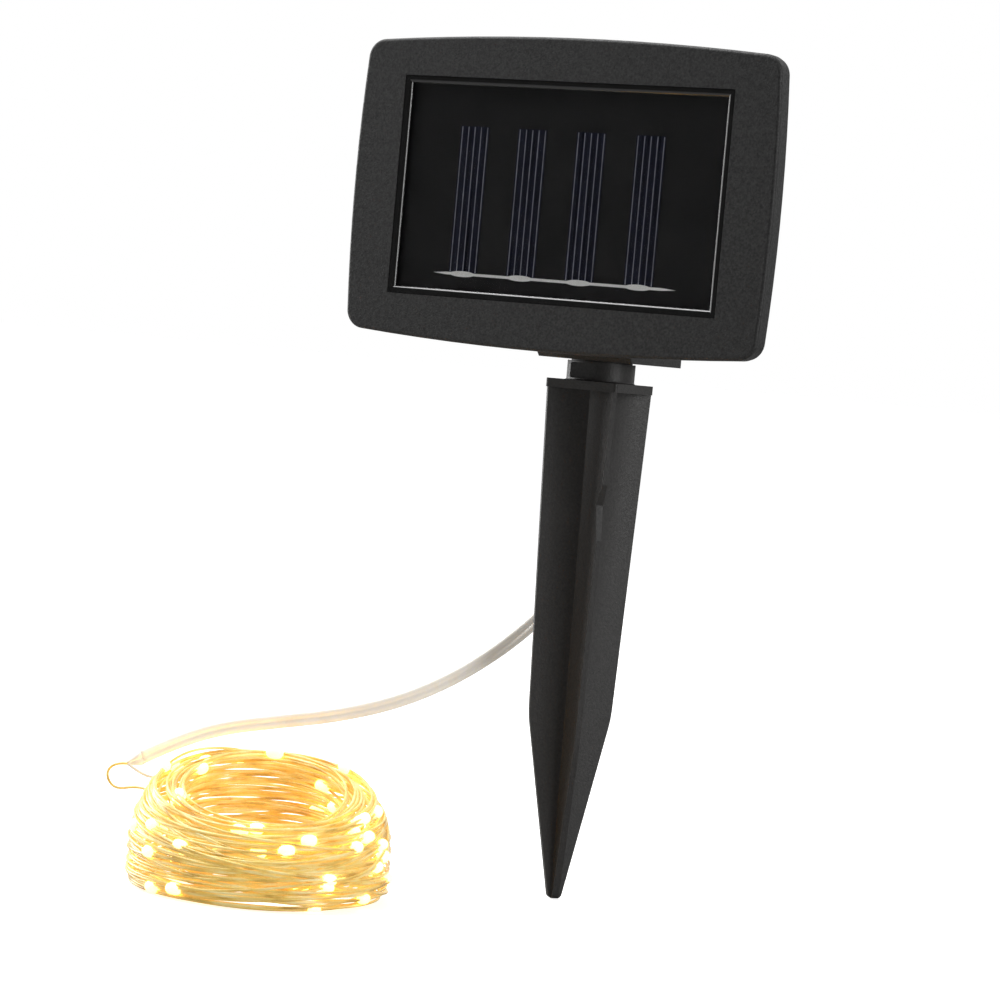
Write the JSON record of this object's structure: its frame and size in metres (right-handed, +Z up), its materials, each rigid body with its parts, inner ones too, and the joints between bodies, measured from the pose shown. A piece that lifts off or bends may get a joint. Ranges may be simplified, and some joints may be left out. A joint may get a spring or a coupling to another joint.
{
  "type": "solar string lights",
  "caption": "Solar head with a rectangular panel window on a four-bladed ground stake, with a thin lead to a coiled string of wire lights.",
  "frame": {"origin": "lower end of the ground stake, on the stake's own axis", "axes": "+Z up the stake, -Y the way the solar window faces, +X to the right of someone who looks at the window"},
  "size_m": [0.1587, 0.1201, 0.2219],
  "materials": {
    "black_plastic": "fine matte grain",
    "stake_plastic": "matte, moulded",
    "trim_gloss": "polished bevel",
    "window": "clear",
    "panel_board": "near black coating",
    "silicon": "dark blue",
    "silver_print": "tinned",
    "seal_rubber": "soft",
    "screw_steel": "zinc plated",
    "cell_jacket": "gloss wrap",
    "contact_metal": "nickel plated",
    "circuit": "solder mask",
    "chip_plastic": "moulded epoxy",
    "ferrite": "sintered",
    "control_grey": "satin",
    "inner_wire": "insulated",
    "lead_clear": "clear ivory insulation",
    "light_wire": "lacquered gold-coloured wire with clear lamps"
  },
  "bodies": {
    "stake": {"ground_stake": "stake_plastic", "friction_ring": "seal_rubber", "lead_cable": "lead_clear", "wire_joint": "lead_clear", "string_lead": "light_wire", "light_coil": "light_wire"},
    "head": {"front_bezel": "black_plastic", "window_trim": "trim_gloss", "clear_pane": "window", "solar_board": "panel_board", "solar_cells": "silicon", "cell_fingers": "silver_print", "busbar_ribbon": "silver_print", "solder_joints": "silver_print", "rear_shell": "black_plastic", "housing_seal": "seal_rubber", "housing_screws": "screw_steel", "door_seal": "seal_rubber", "battery_door": "black_plastic", "door_screws": "screw_steel", "battery_cell": "cell_jacket", "plus_contact": "contact_metal", "minus_contact": "contact_metal", "circuit_board": "circuit", "board_screws": "screw_steel", "controller_chip": "chip_plastic", "boost_inductor": "ferrite", "mode_switch": "chip_plastic", "power_switch": "chip_plastic", "panel_wires": "inner_wire", "battery_wires": "inner_wire", "inner_lead": "lead_clear", "cable_gland": "seal_rubber"},
    "mode_button": {"mode_button": "control_grey"},
    "power_slider": {"power_slider": "control_grey"}
  },
  "joints": [
    {"name": "head_swivel", "type": "hinge", "parent": "stake", "child": "head", "pos_m": [0, 0, 0.141], "axis": [0, 0, 1], "range_deg": [-90, 90]},
    {"name": "mode_press", "type": "slide", "parent": "head", "child": "mode_button", "axis": [0, -1, 0], "range_m": [0, 0.0008], "stiffness_N_per_m": 800},
    {"name": "power_slide", "type": "slide", "parent": "head", "child": "power_slider", "axis": [0, 0, 1], "range_m": [0, 0.003]}
  ]
}
